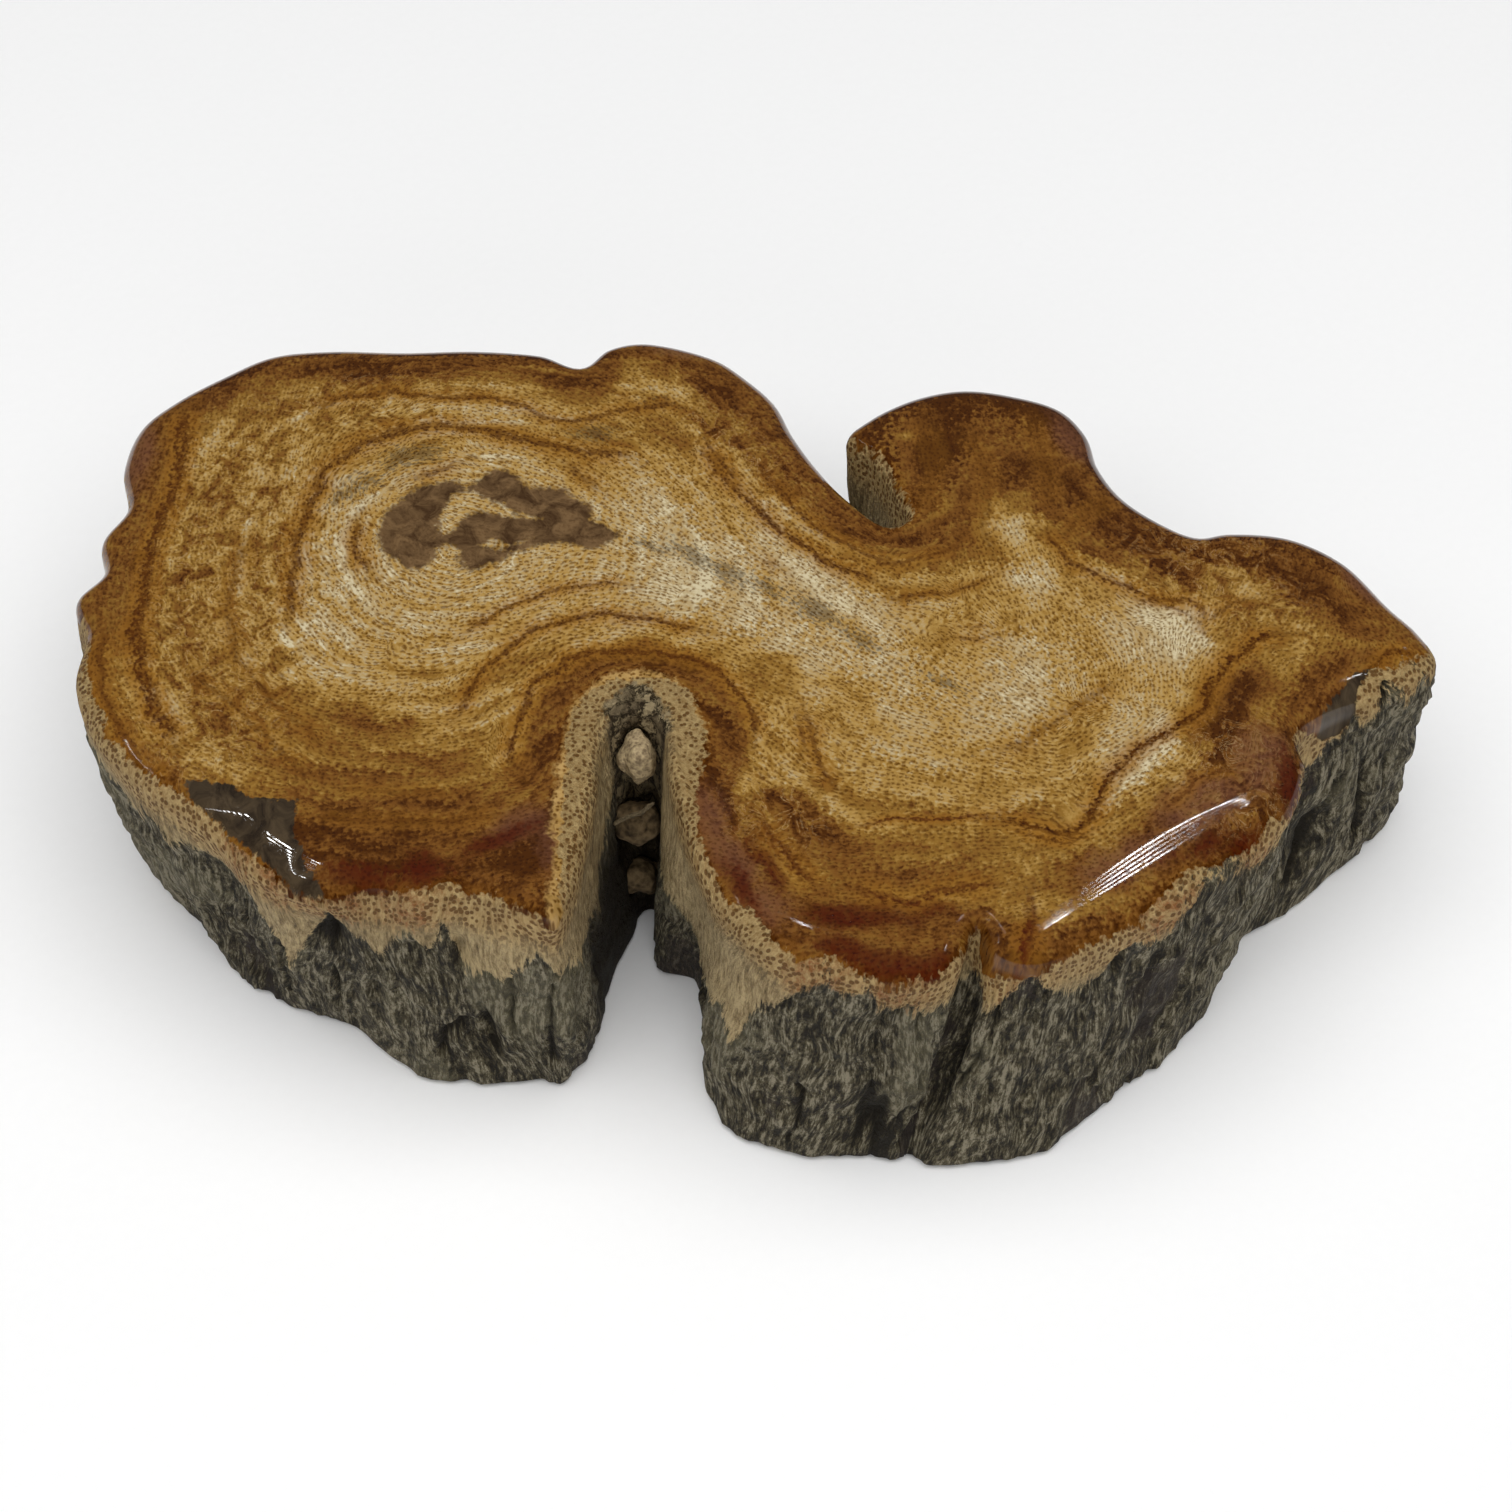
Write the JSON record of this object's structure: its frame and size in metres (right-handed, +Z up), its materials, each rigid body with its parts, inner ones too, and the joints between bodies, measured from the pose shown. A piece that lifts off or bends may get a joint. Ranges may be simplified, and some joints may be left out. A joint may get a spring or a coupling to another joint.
{
  "type": "petrified wood slice",
  "caption": "Freeform slice of petrified wood with a polished top, rough bark walls, a front cleft holding a pebble and earth, and a V notch at the back.",
  "frame": {"origin": "middle of the bounding box's underside, on the sawn flat base", "axes": "+Z up out of the polished top face, +X along the slice's length, -Y towards the side with the deep cleft"},
  "size_m": [0.1475, 0.0917, 0.034],
  "materials": {
    "petrified_wood": "polished top, rough bark sides",
    "pebble": "matt",
    "earth": "crumbly, matt",
    "rootlet": "dry, matt"
  },
  "bodies": {
    "root": {"slice": "petrified_wood", "cleft_pebble": "pebble", "cleft_clod_upper": "earth", "cleft_clod_lower": "earth", "rootlet": "rootlet"}
  },
  "joints": []
}
